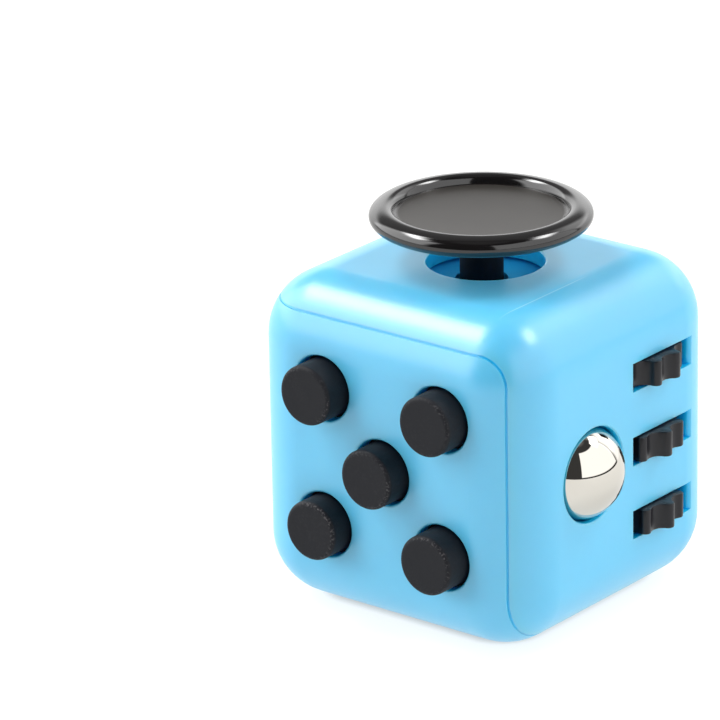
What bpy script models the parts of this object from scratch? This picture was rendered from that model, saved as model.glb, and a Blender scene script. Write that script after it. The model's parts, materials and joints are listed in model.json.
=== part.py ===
"""Fidget cube: a 33 mm two-part case with five push buttons, a gliding stick, a sprung rolling ball,
three star wheels on one axle, a rocker switch, a spinning dial and a thumb dent.

The cube stands on z = 0 with its centre on the Z axis. The buttons face -Y, the ball and the star
wheels face +X, the stick stands on the top, the dial is on the back (+Y), the rocker on the left (-X)
and the thumb dent is underneath. Every length below is in millimetres until finish() scales it.
"""

import math

import bmesh
import bpy
from mathutils import Matrix, Vector

MM = 0.001

# ---- driving dimensions --------------------------------------------------------------------------
CASE = 33.0                      # outer edge of the cube
HALF = CASE / 2
EDGE = 6.5                       # radius of the rounded edges and corners
WALL = 1.6
INNER = HALF - WALL              # half width of the hollow
MID = HALF                       # height of the cube's centre
GAP = 0.3                        # running gap between neighbouring pieces
THIN = 0.2                       # gap of the case seam and its lap joint

SEAM_X = 13.93                   # the cover starts here on the right ...
SEAM_Z = 30.1                    # ... and here at the top
SEAM_CORNER = 3.0
LAP = 0.5                        # how far the body's tongue reaches under the cover

BUTTON_STEP = (7.03, 6.92)       # half the spacing of the outer buttons, across and up
BUTTON_SHIFT = 0.28              # the pattern and the stick's hole sit a little right of centre
BUTTON_R = 2.95
BUTTON_HOLE_R = BUTTON_R + GAP
BUTTON_PROUD = {                 # how far each cap stands out of the face
    "upper_left": 2.6,
    "upper_right": 2.45,
    "centre": 2.45,
    "lower_left": 2.2,
    "lower_right": 2.6,
}
BUTTON_RIM = 0.4                 # rounding of a cap's edge
BUTTON_FLANGE_R, BUTTON_FLANGE_T = 3.7, 0.8
BUTTON_BOSS_R, BUTTON_BOSS_H = 1.5, 0.5
CLICK_HALF = 2.2                 # half width of a click switch
CLICK_Y = (10.2, 12.2)           # its back and front, measured forwards from the cube's centre
CLICK_BORE_R, CLICK_BORE_BACK = 1.35, 10.6
PLUNGER_R, PLUNGER_Y = 1.0, (11.7, 13.0)
SILENT_SPRING_R, SILENT_SPRING_Y = 1.4, (10.2, 13.0)

STICK_X, STICK_Y = -0.18, 0.0
STICK_HOLE_R = 5.7
POST_R = 2.25
POST_Z = (27.3, 36.6)
POST_BORE_TOP = 31.0             # end of the hole for the screw that holds the post from below
STICK_SCREW_HEAD_R, STICK_SCREW_Z = 2.9, (26.0, 26.6, 30.6)      # head, bearing face, tip
GLIDE = 2.2                      # travel of the stick each way, along X and along Y
DISC_R = 10.7
DISC_RIM_R = 9.1                 # centre of the rim's oval section
DISC_Z = 37.5
DISC_RIM_H = 1.04
DISH_R = 8.55
DISH_Z = 37.75
HUB_R, HUB_Z = 3.4, 35.0         # socket under the thumb disc
SLIDER_R = 6.4                   # the plate that shows through the stick's hole
SLIDER_Z = (30.3, 31.1)
SLIDER_BLOCK, SLIDER_BLOCK_Z = 3.2, 26.9     # half width and underside of the block under that plate
CARRIAGE = (5.0, 7.1)            # half lengths of the carriage along X and Y
CARRIAGE_Z = (27.9, 29.1)
GLIDE_SPRING_R, GLIDE_SPRING_Z = 1.9, (23.7, 25.7)
BASE_HALF_X, BASE_Z = 8.0, 22.6  # the tray under the carriage
SHELF = (6.1, 7.4, 27.6)         # inner and outer edge of the tray's shelf, and its height
RAIL = (8.2, 29.4)               # outer edge and height of the tray's rail
BASE_FLOOR = 0.8
EAR_Z = (26.2, 27.0)
GLIDE_POSTS = [(-9.4, 6.0), (-9.4, -6.0), (9.4, -6.3)]

BALL = (14.3, -4.78, 16.3)
BALL_R = 4.76
BALL_SEAT_GAP = 0.15             # the spring holds the ball this far from its seat in the cover
BALL_MOUTH_R = 4.74              # radius of the opening at the face ...
BALL_MOUTH_FLARE = 0.28          # ... and how much it narrows for each millimetre inwards
CUP_R, CUP_X = 5.0, (8.3, 11.9)
BALL_SPRING_R = 2.0
HOUSING_R = (5.3, 5.9)
HOUSING_X = (5.0, 14.6)
HOUSING_FLOOR = 0.8
HOUSING_SCREW = 7.5              # the housing's screws sit this far above and below the ball
HOUSING_EAR_X = (11.3, 12.3)

GEAR_X, GEAR_Y = 13.15, 5.75
GEAR_Z = (24.05, 16.58, 9.1)
GEAR_PHASE = (14.7, -4.8, -0.2)  # degrees, where a tooth of each wheel points at rest
GEAR_TEETH = 10
GEAR_TIP_R = 5.0
GEAR_VALLEY_R = 4.15
GEAR_T = 2.5
GEAR_BORE_R = 1.15
GEAR_CLEAR = 0.35                # room around the tips of the teeth
SLOT_Y = (1.46, 10.95)
SLOT_H = 2.9
AXLE_R, AXLE_END = 0.8, 4.9
AXLE_HEAD = (1.2, 0.5)           # radius and thickness
AXLE_RIBS = ((5.9, 6.9), (26.1, 27.1))
SPACER_R, CLIP_R, CLIP_T = 1.45, 1.25, 0.4

DIAL_R = 9.2
DIAL_PROUD = 1.2
DIAL_DISHED = 0.35               # how much lower the face is at its centre
DIAL_NUB_PROUD = 2.6
DIAL_NUB_R, DIAL_NUB_OUT = 1.6, 6.1
DIAL_RECESS = 0.7
DIAL_SHAFT_R, DIAL_SHAFT_END = 1.5, 14.1
DIAL_BORE_R, DIAL_BORE_END = 0.85, 16.3
DIAL_WASHER_R, DIAL_WASHER_Y = (1.8, 4.2), 13.8
DIAL_SCREW_HEAD_R, DIAL_SCREW_Y = 2.6, (12.8, 13.5, 15.9)        # head, bearing face, tip

ROCKER_X = -13.2                 # the rocker's pivot
ROCKER_TILT = math.radians(11.5)
ROCKER_END_R = 7.2
ROCKER_PROUD = 2.56              # how far the raised end stands out of the face
ROCKER_W = 6.8
ROCKER_HUB_R, ROCKER_BORE_R = 1.8, 1.0
ROCKER_PIN_R, ROCKER_PIN_HALF = 0.7, 4.5
ROCKER_PLUNGER_R, ROCKER_PLUNGER = 0.9, (2.1, 5.6)      # tip and back, inwards from the pivot
ROCKER_SPRING_R, ROCKER_SPRING = 0.7, (5.9, 7.1)
ROCKER_BOX_T = 0.8
ROCKER_BOX_FLOOR = 2.8           # the housing's floor, inwards from the pivot
ROCKER_GUIDE_R, ROCKER_GUIDE_BORE_R = 2.0, 1.2          # the plunger's guide behind that floor
ROCKER_GUIDE_END, ROCKER_GUIDE_FLOOR = 7.9, 7.4
ROCKER_SCREW = 10.0              # the housing's screws sit this far above and below the pivot
ROCKER_EAR_X = (-12.3, -11.4)

DENT = (11.0, 8.7, 4.0)          # semi-axes of the thumb dent's ellipsoid
DENT_DEPTH = 2.0

BOARD_HALF_X = 13.2
BOARD_Y = (-9.9, -8.9)
BOARD_Z = (3.6, 29.4)
BOARD_WINDOW = 4.6               # half height of the board's cut-out around the ball housing
BOARD_POSTS = [(-11.6, 5.2), (-11.6, 27.8), (11.6, 5.2), (11.6, 27.8)]
SCREW_R = 0.6
SCREW_BORE_R = SCREW_R + GAP
EAR_R = 1.4                      # half width of the ears that the screws go through
WIRE = 0.2                       # radius of the springs' wire

X, Y, Z = Vector((1, 0, 0)), Vector((0, 1, 0)), Vector((0, 0, 1))


# ---- materials -----------------------------------------------------------------------------------
def material(name, colour, roughness, metallic=0.0):
    made = bpy.data.materials.new(name)
    made.use_nodes = True
    shader = made.node_tree.nodes["Principled BSDF"]
    shader.inputs["Base Color"].default_value = (*colour, 1.0)
    shader.inputs["Roughness"].default_value = roughness
    shader.inputs["Metallic"].default_value = metallic
    made.diffuse_color = (*colour, 1.0)
    return made


# ---- shapes, as bmesh solids in millimetres ------------------------------------------------------
def closed(bm):
    bmesh.ops.recalc_face_normals(bm, faces=bm.faces)
    return bm


def box(low, high):
    bm = bmesh.new()
    size = [b - a for a, b in zip(low, high)]
    centre = [(a + b) / 2 for a, b in zip(low, high)]
    bmesh.ops.create_cube(bm, size=1.0, matrix=Matrix.LocRotScale(Vector(centre), None, Vector(size)))
    return bm


def rounded_box(inset, segments):
    """The cube's outer form, drawn in by the inset on every side."""
    half = HALF - inset
    bm = box((-half, -half, MID - half), (half, half, MID + half))
    bmesh.ops.bevel(
        bm, geom=list(bm.edges), offset=EDGE - inset, segments=segments, profile=0.5, affect="EDGES"
    )
    return closed(bm)


def turned(outline, steps, base=(0, 0, 0), axis=Z):
    """A lathe solid: outline is a closed run of (radius, height) points; radius 0 is on the axis."""
    bm = bmesh.new()
    turn = axis.normalized().to_track_quat("Z", "Y").to_matrix().to_4x4()
    place = Matrix.Translation(base) @ turn
    rings = []
    for radius, height in outline:
        if radius == 0:
            rings.append([bm.verts.new(place @ Vector((0, 0, height)))] * steps)
            continue
        angles = [2 * math.pi * i / steps for i in range(steps)]
        points = [Vector((radius * math.cos(a), radius * math.sin(a), height)) for a in angles]
        rings.append([bm.verts.new(place @ p) for p in points])
    for ring, after in zip(rings, rings[1:] + rings[:1]):
        for i in range(steps):
            j = (i + 1) % steps
            corners = []
            for vert in (ring[i], ring[j], after[j], after[i]):
                if vert not in corners:
                    corners.append(vert)
            if len(corners) > 2:
                bm.faces.new(corners)
    return closed(bm)


def rod(radius, low, high, steps, base=(0, 0, 0), axis=Z):
    return turned([(0, low), (radius, low), (radius, high), (0, high)], steps, base, axis)


def tube(inner, outer, low, high, steps, base=(0, 0, 0), axis=Z):
    return turned([(inner, low), (outer, low), (outer, high), (inner, high)], steps, base, axis)


def prism(outline, low, high, axis):
    """A flat outline pushed along X, Y or Z. Its points are the two other coordinates, in order."""
    bm = bmesh.new()

    def point(pair, along):
        a, b = pair
        return {"X": (along, a, b), "Y": (a, along, b), "Z": (a, b, along)}[axis]

    near = [bm.verts.new(point(p, low)) for p in outline]
    far = [bm.verts.new(point(p, high)) for p in outline]
    bm.faces.new(near)
    bm.faces.new(far)
    for i in range(len(outline)):
        j = (i + 1) % len(outline)
        bm.faces.new((near[i], near[j], far[j], far[i]))
    return closed(bm)


def coil(radius, wire, low, high, turns, base, axis, per_turn=8, sides=4):
    """A compression spring: a round wire wound on a helix, with flat ends."""
    bm = bmesh.new()
    turn = axis.normalized().to_track_quat("Z", "Y").to_matrix().to_4x4()
    place = Matrix.Translation(base) @ turn
    steps = turns * per_turn
    rise = (high - low - 2 * wire) / steps
    rings = []
    for i in range(steps + 1):
        angle = 2 * math.pi * i / per_turn
        out = Vector((math.cos(angle), math.sin(angle), 0))
        centre = out * radius + Vector((0, 0, low + wire + rise * i))
        ring = []
        for k in range(sides):
            around = 2 * math.pi * k / sides
            side = out * math.cos(around) + Z * math.sin(around)
            ring.append(bm.verts.new(place @ (centre + wire * side)))
        rings.append(ring)
    for ring, after in zip(rings, rings[1:]):
        for k in range(sides):
            bm.faces.new((ring[k], ring[(k + 1) % sides], after[(k + 1) % sides], after[k]))
    bm.faces.new(rings[0])
    bm.faces.new(rings[-1])
    return closed(bm)


# ---- objects -------------------------------------------------------------------------------------
def solid(name, bm, finish_with):
    mesh = bpy.data.meshes.new(name)
    bm.to_mesh(mesh)
    bm.free()
    mesh.materials.append(finish_with)
    made = bpy.data.objects.new(name, mesh)
    bpy.context.scene.collection.objects.link(made)
    return made


def combine(target, bm, operation):
    """Join a shape to an object, cut it out of it, or keep only what they share."""
    tool_mesh = bpy.data.meshes.new("tool")
    bm.to_mesh(tool_mesh)
    bm.free()
    tool = bpy.data.objects.new("tool", tool_mesh)
    tool.hide_render = True
    tool.display_type = "WIRE"
    bpy.context.scene.collection.objects.link(tool)
    modifier = target.modifiers.new("combine", "BOOLEAN")
    modifier.operation = operation
    modifier.solver = "EXACT"
    modifier.object = tool
    graph = bpy.context.evaluated_depsgraph_get()
    result = bpy.data.meshes.new_from_object(target.evaluated_get(graph))
    target.modifiers.clear()
    before = target.data
    target.data = result
    bpy.data.meshes.remove(before)
    bpy.data.objects.remove(tool)
    bpy.data.meshes.remove(tool_mesh)


def join(target, bm):
    combine(target, bm, "UNION")


def cut(target, bm):
    combine(target, bm, "DIFFERENCE")


def finish():
    """Scale every mesh to metres, put moving pieces' origins on their axes and shade them."""
    for made in bpy.context.scene.collection.objects:
        origin = Vector(ORIGINS.get(made.name, (0, 0, 0)))
        made.data.transform(Matrix.Scale(MM, 4) @ Matrix.Translation(-origin))
        made.location = origin * MM
        made.data.shade_smooth()
        made.data.set_sharp_from_angle(angle=math.radians(35))


ORIGINS = {}


def screw(name, head, axis, length):
    """A pan-head screw: head is the centre of the face that bears, axis points along the thread."""
    head_r, head_h = 1.15, 0.6
    outline = [(0, -head_h), (head_r * 0.8, -head_h), (head_r, -head_h * 0.5), (head_r, 0)]
    outline += [(SCREW_R, 0), (SCREW_R, length - 0.4), (SCREW_R * 0.4, length), (0, length)]
    return solid(name, turned(outline, 10, head, axis), STEEL)


# ---- the case ------------------------------------------------------------------------------------
def seam_region(grow):
    """The side of the seam that belongs to the case body, as a prism along Y."""
    right, top, radius = SEAM_X + grow, SEAM_Z + grow, SEAM_CORNER + grow
    far = 2 * CASE
    outline = [(-far, -far), (right, -far)]
    for i in range(7):
        angle = math.pi / 2 * i / 6
        outline.append((right - radius + radius * math.cos(angle), top - radius + radius * math.sin(angle)))
    outline.append((-far, top))
    return prism(outline, -far, far, "Y")


def button_places():
    names = ("upper_left", "upper_right", "centre", "lower_left", "lower_right")
    steps = ((-1, 1), (1, 1), (0, 0), (-1, -1), (1, -1))
    for name, (i, j) in zip(names, steps):
        yield name, BUTTON_SHIFT + i * BUTTON_STEP[0], MID + j * BUTTON_STEP[1]


def ball_mouth():
    """The cutter of the ball's opening: a ball seat inside that ends in a flared mouth."""
    seat_r = BALL_R + BALL_SEAT_GAP
    outline = [(0, -seat_r)]
    for i in range(1, 24):
        angle = -math.pi / 2 + math.pi * i / 24
        radius, height = seat_r * math.cos(angle), seat_r * math.sin(angle)
        mouth = BALL_MOUTH_R + (BALL[0] + height - HALF) * BALL_MOUTH_FLARE
        if height > 0 and radius < mouth:
            break
        outline.append((radius, height))
    far = HALF + 1.0 - BALL[0]
    outline += [(BALL_MOUTH_R + BALL_MOUTH_FLARE, far), (0, far)]
    return turned(outline, 36, BALL, X)


def case_body():
    made = solid("case_body", rounded_box(0, 8), BLUE)
    combine(made, seam_region(0), "INTERSECT")
    tongue = solid("tongue", rounded_box(0.95, 5), BLUE)
    combine(tongue, seam_region(LAP), "INTERSECT")
    shape = bmesh.new()
    shape.from_mesh(tongue.data)
    bpy.data.objects.remove(tongue)
    join(made, shape)
    cut(made, rounded_box(WALL, 4))
    join(made, prism(oval(10.9, 8.9, 24), 1.0, 3.4, "Z"))
    cut(made, dent())
    for x, z in BOARD_POSTS:
        join(made, rod(1.5, -15.4, BOARD_Y[0] - GAP, 12, (x, 0, z), Y))
    for x, z in BOARD_POSTS:
        cut(made, rod(SCREW_BORE_R, -14.2, 0, 10, (x, 0, z), Y))
    for _, x, z in button_places():
        cut(made, rod(BUTTON_HOLE_R, -HALF - 1, -INNER + 1, 24, (x, 0, z), Y))
    window = ROCKER_END_R + 0.1
    wide = ROCKER_W / 2 + GAP
    cut(made, box((-HALF - 1, -wide, MID - window), (-INNER + 1, wide, MID + window)))
    for z in (MID - ROCKER_SCREW, MID + ROCKER_SCREW):
        join(made, rod(1.3, -15.4, -12.6, 12, (0, 0, z), X))
        cut(made, rod(SCREW_BORE_R, -14.9, 0, 10, (0, 0, z), X))
    cut(made, rod(DIAL_R + GAP, HALF - DIAL_RECESS, HALF + 1, 40, (0, 0, MID), Y))
    cut(made, rod(1.8, INNER - 1, HALF, 16, (0, 0, MID), Y))
    return made


def oval(a, b, steps):
    angles = [2 * math.pi * i / steps for i in range(steps)]
    return [(a * math.cos(angle), b * math.sin(angle)) for angle in angles]


def dent():
    """The cutter of the thumb dent: an ellipsoid that rises DENT_DEPTH into the floor."""
    bm = bmesh.new()
    bmesh.ops.create_uvsphere(bm, u_segments=24, v_segments=20, radius=1.0)
    bmesh.ops.scale(bm, vec=DENT, verts=bm.verts)
    bmesh.ops.translate(bm, vec=(0, 0, DENT_DEPTH - DENT[2]), verts=bm.verts)
    return bm


def case_cover():
    made = solid("case_cover", rounded_box(0, 8), BLUE)
    cut(made, seam_region(THIN))
    hollow = solid("hollow", rounded_box(0.75, 5), BLUE)
    combine(hollow, seam_region(LAP + THIN), "INTERSECT")
    shape = bmesh.new()
    shape.from_mesh(hollow.data)
    bpy.data.objects.remove(hollow)
    cut(made, shape)
    cut(made, rounded_box(WALL, 4))
    cut(made, rod(STICK_HOLE_R, CASE - 3, CASE + 1, 40, (BUTTON_SHIFT, 0, 0), Z))
    cut(made, ball_mouth())
    for z in (BALL[2] - HOUSING_SCREW, BALL[2] + HOUSING_SCREW):
        join(made, rod(1.3, 12.6, 15.4, 12, (0, BALL[1], z), X))
        cut(made, rod(SCREW_BORE_R, 10, 15.1, 10, (0, BALL[1], z), X))
    for low, high in AXLE_RIBS:
        join(made, box((GEAR_X - 1.8, GEAR_Y - 1.8, low), (15.3, GEAR_Y + 1.8, high)))
    cut(made, rod(AXLE_R + GAP, 4, 29, 16, (GEAR_X, GEAR_Y, 0), Z))
    for z in GEAR_Z:
        low, high = z - SLOT_H / 2, z + SLOT_H / 2
        cut(made, box((INNER - 2, SLOT_Y[0], low), (HALF + 1, SLOT_Y[1], high)))
        cut(made, rod(GEAR_TIP_R + GEAR_CLEAR, low, high, 32, (GEAR_X, GEAR_Y, 0), Z))
    for x, y in GLIDE_POSTS:
        join(made, rod(1.2, 27.3, 31.9, 12, (x, y, 0), Z))
        cut(made, rod(SCREW_BORE_R - 0.05, 27.0, 31.2, 10, (x, y, 0), Z))
    return made


# ---- the push buttons ----------------------------------------------------------------------------
CAP_BACK = INNER - GAP                   # distances of the button's parts in front of the cube's centre
CLICKING = ("upper_left", "centre", "lower_right")


def button(name, x, z):
    """A cap: face with a rounded rim, plain side, inner flange and a short boss that does the pressing."""
    face = HALF + BUTTON_PROUD[name]
    flat_r, rim_y = BUTTON_R - BUTTON_RIM, face - BUTTON_RIM
    outline = [(0, face), (flat_r, face)]
    for i in range(1, 4):
        angle = math.pi / 2 * i / 3
        outline.append((flat_r + BUTTON_RIM * math.sin(angle), rim_y + BUTTON_RIM * math.cos(angle)))
    flange_back = CAP_BACK - BUTTON_FLANGE_T
    boss_back = flange_back - BUTTON_BOSS_H
    outline += [(BUTTON_R, CAP_BACK), (BUTTON_FLANGE_R, CAP_BACK), (BUTTON_FLANGE_R, flange_back)]
    outline += [(BUTTON_BOSS_R, flange_back), (BUTTON_BOSS_R, boss_back), (0, boss_back)]
    solid("button_" + name, turned(outline, 24, (x, 0, z), -Y), RUBBER)
    ORIGINS["button_" + name] = (x, -HALF, z)


def click_switch(name, x, z):
    """A switch on the board: a square body with a round plunger in its bore."""
    back, front = CLICK_Y
    body = box((x - CLICK_HALF, -front, z - CLICK_HALF), (x + CLICK_HALF, -back, z + CLICK_HALF))
    made = solid("click_switch_" + name, body, BLACK)
    cut(made, rod(CLICK_BORE_R, CLICK_BORE_BACK, front + 1, 16, (x, 0, z), -Y))
    foot, tip = PLUNGER_Y
    bevel = 0.2
    plunger = [(0, foot), (PLUNGER_R, foot), (PLUNGER_R, tip - bevel), (PLUNGER_R - bevel, tip), (0, tip)]
    solid("click_plunger_" + name, turned(plunger, 14, (x, 0, z), -Y), RUBBER)
    ORIGINS["click_plunger_" + name] = (x, -front, z)


def click_board():
    front, back = BOARD_Y
    plate = box((-BOARD_HALF_X, front, BOARD_Z[0]), (BOARD_HALF_X, back, BOARD_Z[1]))
    made = solid("click_board", plate, GREEN)
    low, high = BALL[2] - BOARD_WINDOW, BALL[2] + BOARD_WINDOW
    cut(made, box((HOUSING_X[0] - 0.4, front - 1, low), (BOARD_HALF_X + 1, back + 1, high)))
    for i, (x, z) in enumerate(BOARD_POSTS):
        cut(made, rod(SCREW_BORE_R, front - 1, back + 1, 10, (x, 0, z), Y))
        screw("board_screw_%d" % (i + 1), (x, back + GAP, z), -Y, 4.9)


def buttons():
    for name, x, z in button_places():
        button(name, x, z)
        if name in CLICKING:
            click_switch(name, x, z)
        else:
            spring = coil(SILENT_SPRING_R, WIRE, *SILENT_SPRING_Y, 4, (x, 0, z), -Y)
            solid("silent_spring_" + name, spring, STEEL)
    click_board()


# ---- the gliding stick ---------------------------------------------------------------------------
def stick():
    """The stick, the slider that moves along Y in the carriage, and the carriage that moves along X."""
    centre = (STICK_X, STICK_Y, 0)
    stick_cap(centre)
    foot, tip = POST_Z
    post = [(0, POST_BORE_TOP), (SCREW_BORE_R, POST_BORE_TOP), (SCREW_BORE_R, foot)]
    post += [(POST_R, foot), (POST_R, tip), (0, tip)]
    solid("stick_post", turned(post, 24, centre), BLACK)
    head, bearing, end = STICK_SCREW_Z
    screw_outline = [(0, head), (STICK_SCREW_HEAD_R, head), (STICK_SCREW_HEAD_R, bearing)]
    screw_outline += [(SCREW_R, bearing), (SCREW_R, end), (0, end)]
    solid("stick_screw", turned(screw_outline, 16, centre), STEEL)
    block = SLIDER_BLOCK
    slider = solid("stick_slider", rod(SLIDER_R, *SLIDER_Z, 32, centre), BLUE)
    top = SLIDER_Z[0] + 0.3
    join(slider, box((STICK_X - block, -block, SLIDER_BLOCK_Z), (STICK_X + block, block, top)))
    cut(slider, rod(POST_R + GAP, 20, 40, 20, centre))
    low, high = CARRIAGE_Z
    half_x, half_y = CARRIAGE
    plate = box((STICK_X - half_x, -half_y, low), (STICK_X + half_x, half_y, high))
    carriage = solid("glide_carriage", plate, BLUE)
    near, far = block + GAP, block + GAP + GLIDE
    cut(carriage, box((STICK_X - near, -far, low - 1), (STICK_X + near, far, high + 1)))
    glide_base()
    solid("glide_spring", coil(GLIDE_SPRING_R, WIRE, *GLIDE_SPRING_Z, 3, centre, Z), STEEL)
    for name in ("stick_cap", "stick_post", "stick_screw", "stick_slider", "glide_carriage"):
        ORIGINS[name] = (STICK_X, STICK_Y, CASE)


def stick_cap(centre):
    """The thumb disc: a shallow dish inside an oval-section rim, with a socket for the post below."""
    crest_r = DISC_RIM_R
    outline = [(0, DISH_Z - 0.1), (DISH_R * 0.6, DISH_Z - 0.08)]
    outline += [(DISH_R, DISH_Z), (DISH_R + 0.25, DISH_Z + 0.5)]
    for i in range(9):
        angle = math.pi / 2 - math.pi * i / 8
        radius = crest_r + (DISC_R - crest_r) * math.cos(angle)
        outline.append((radius, DISC_Z + DISC_RIM_H * math.sin(angle)))
    socket_r, socket_top = POST_R + GAP, DISC_Z - 0.6
    outline += [(HUB_R + 0.3, HUB_Z + 1.4), (HUB_R, HUB_Z + 1.1), (HUB_R, HUB_Z)]
    outline += [(socket_r, HUB_Z), (socket_r, socket_top), (0, socket_top)]
    solid("stick_cap", turned(outline, 40, centre), BLACK)


def glide_base():
    """The tray that carries the carriage: two shelves, two rails and three ears with screws."""
    shelf_in, shelf_out, shelf_z = SHELF
    rail_y, rail_z = RAIL
    half = [(rail_y, BASE_Z), (rail_y, rail_z), (shelf_out, rail_z), (shelf_out, shelf_z)]
    half += [(shelf_in, shelf_z), (shelf_in, BASE_Z + BASE_FLOOR)]
    outline = half + [(-y, z) for y, z in reversed(half)]
    made = solid("glide_base", prism(outline, -BASE_HALF_X, BASE_HALF_X, "X"), BLUE)
    low, high = EAR_Z
    for i, (x, y) in enumerate(GLIDE_POSTS):
        side = math.copysign(1, x)
        across = math.copysign(1, y)
        xs = sorted((x + side * EAR_R, side * (BASE_HALF_X - 1)))
        ys = sorted((y - across * EAR_R, across * (rail_y - 0.3)))
        join(made, box((xs[0], ys[0], low), (xs[1], ys[1], high)))
        cut(made, rod(SCREW_BORE_R, low - 1, high + 1, 10, (x, y, 0)))
        screw("glide_screw_%d" % (i + 1), (x, y, low - GAP), Z, 4.4)


# ---- the rolling ball ----------------------------------------------------------------------------
def ball():
    bm = bmesh.new()
    bmesh.ops.create_uvsphere(bm, u_segments=28, v_segments=16, radius=BALL_R)
    bmesh.ops.translate(bm, vec=BALL, verts=bm.verts)
    solid("roller_ball", bm, CHROME)
    base = (0, BALL[1], BALL[2])
    back, front = CUP_X
    cup_outline = [(0, back), (CUP_R - 0.3, back), (CUP_R, back + 0.3), (CUP_R, front), (0, front)]
    cup = solid("ball_cup", turned(cup_outline, 32, base, X), BLACK)
    seat = bmesh.new()
    bmesh.ops.create_uvsphere(seat, u_segments=24, v_segments=16, radius=BALL_R + GAP)
    bmesh.ops.translate(seat, vec=BALL, verts=seat.verts)
    cut(cup, seat)
    inner, outer = HOUSING_R
    rear, mouth = HOUSING_X
    floor = rear + HOUSING_FLOOR
    solid("ball_spring", coil(BALL_SPRING_R, WIRE, floor + GAP, back - GAP, 3, base, X), STEEL)
    shell = [(0, rear), (outer, rear), (outer, mouth), (inner, mouth), (inner, floor), (0, floor)]
    housing = solid("ball_housing", turned(shell, 32, base, X), WHITE)
    low, high = GEAR_Z[1] - SLOT_H / 2, GEAR_Z[1] + SLOT_H / 2
    cut(housing, rod(GEAR_TIP_R + GEAR_CLEAR, low, high, 32, (GEAR_X, GEAR_Y, 0), Z))
    ear_back, ear_front = HOUSING_EAR_X
    for i, side in enumerate((-1, 1)):
        z = BALL[2] + side * HOUSING_SCREW
        zs = sorted((BALL[2] + side * (inner + 0.2), z + side * EAR_R))
        join(housing, box((ear_back, BALL[1] - EAR_R, zs[0]), (ear_front, BALL[1] + EAR_R, zs[1])))
        cut(housing, rod(SCREW_BORE_R, ear_back - 1, ear_front + 1, 10, (0, BALL[1], z), X))
        screw("ball_screw_%d" % (i + 1), (ear_back - GAP, BALL[1], z), X, 3.8)
    ORIGINS["roller_ball"] = ORIGINS["ball_cup"] = BALL


# ---- the star wheels -----------------------------------------------------------------------------
def star_wheel(name, z, phase):
    """A wheel with narrow rounded teeth and wide scallops, as a ring between its edge and its bore."""
    steps = GEAR_TEETH * 6
    low, high, sharpness = z - GEAR_T / 2, z + GEAR_T / 2, 3
    bm = bmesh.new()
    rings = []
    for i in range(steps):
        angle = 2 * math.pi * i / steps
        lobe = abs(math.cos(GEAR_TEETH * angle / 2)) ** sharpness
        radius = GEAR_VALLEY_R + (GEAR_TIP_R - GEAR_VALLEY_R) * lobe
        out = Vector((math.cos(angle + phase), math.sin(angle + phase), 0))
        corners = [(radius, low), (radius, high), (GEAR_BORE_R, high), (GEAR_BORE_R, low)]
        centre = Vector((GEAR_X, GEAR_Y, 0))
        rings.append([bm.verts.new(centre + out * r + Z * h) for r, h in corners])
    for ring, after in zip(rings, rings[1:] + rings[:1]):
        for k in range(4):
            bm.faces.new((ring[k], ring[(k + 1) % 4], after[(k + 1) % 4], after[k]))
    solid(name, closed(bm), BLACK)
    ORIGINS[name] = (GEAR_X, GEAR_Y, z)


def wheels():
    base = (GEAR_X, GEAR_Y, 0)
    for place, z, phase in zip(("upper", "middle", "lower"), GEAR_Z, GEAR_PHASE):
        star_wheel("star_wheel_" + place, z, math.radians(phase))
    edge = GEAR_T / 2 + GAP
    spans = [(GEAR_Z[1] + edge, GEAR_Z[0] - edge), (GEAR_Z[2] + edge, GEAR_Z[1] - edge)]
    for i, (low, high) in enumerate(spans):
        solid("wheel_spacer_%d" % (i + 1), tube(GEAR_BORE_R, SPACER_R, low, high, 16, base), WHITE)
    head = AXLE_RIBS[1][1] + GAP
    head_r, head_t = AXLE_HEAD
    axle = [(0, AXLE_END), (AXLE_R, AXLE_END), (AXLE_R, head)]
    axle += [(head_r, head), (head_r, head + head_t), (0, head + head_t)]
    solid("wheel_axle", turned(axle, 16, base), STEEL)
    clip = AXLE_RIBS[0][0] - GAP
    solid("axle_clip", tube(AXLE_R + 0.1, CLIP_R, clip - CLIP_T, clip, 14, base), STEEL)


# ---- the spinning dial ---------------------------------------------------------------------------
def dial():
    base = (0, 0, MID)
    back, face = HALF - DIAL_RECESS + GAP, HALF + DIAL_PROUD
    outline = [(0, DIAL_BORE_END), (DIAL_BORE_R, DIAL_BORE_END), (DIAL_BORE_R, DIAL_SHAFT_END)]
    outline += [(DIAL_SHAFT_R, DIAL_SHAFT_END), (DIAL_SHAFT_R, back), (DIAL_R, back)]
    outline += [(DIAL_R, face - 0.6), (DIAL_R - 0.25, face - 0.15), (DIAL_R - 0.7, face)]
    outline += [(DIAL_R * 0.35, face - 0.25), (0, face - DIAL_DISHED)]
    made = solid("dial", turned(outline, 40, base, Y), BLACK)
    foot, top = face - 0.8, HALF + DIAL_NUB_PROUD
    nub = [(0, foot), (DIAL_NUB_R, foot), (DIAL_NUB_R, top - 0.4), (DIAL_NUB_R - 0.35, top), (0, top)]
    join(made, turned(nub, 20, (0, 0, MID + DIAL_NUB_OUT), Y))
    solid("dial_washer", tube(*DIAL_WASHER_R, DIAL_WASHER_Y, INNER - GAP, 24, base, Y), STEEL)
    head, bearing, end = DIAL_SCREW_Y
    head_r, thread_r = DIAL_SCREW_HEAD_R, SCREW_R - 0.05
    tail = [(0, head), (head_r - 0.4, head), (head_r, head + 0.2), (head_r, bearing)]
    tail += [(thread_r, bearing), (thread_r, end), (0, end)]
    solid("dial_screw", turned(tail, 16, base, Y), STEEL)
    ORIGINS["dial"] = ORIGINS["dial_screw"] = (0, HALF, MID)


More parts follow.
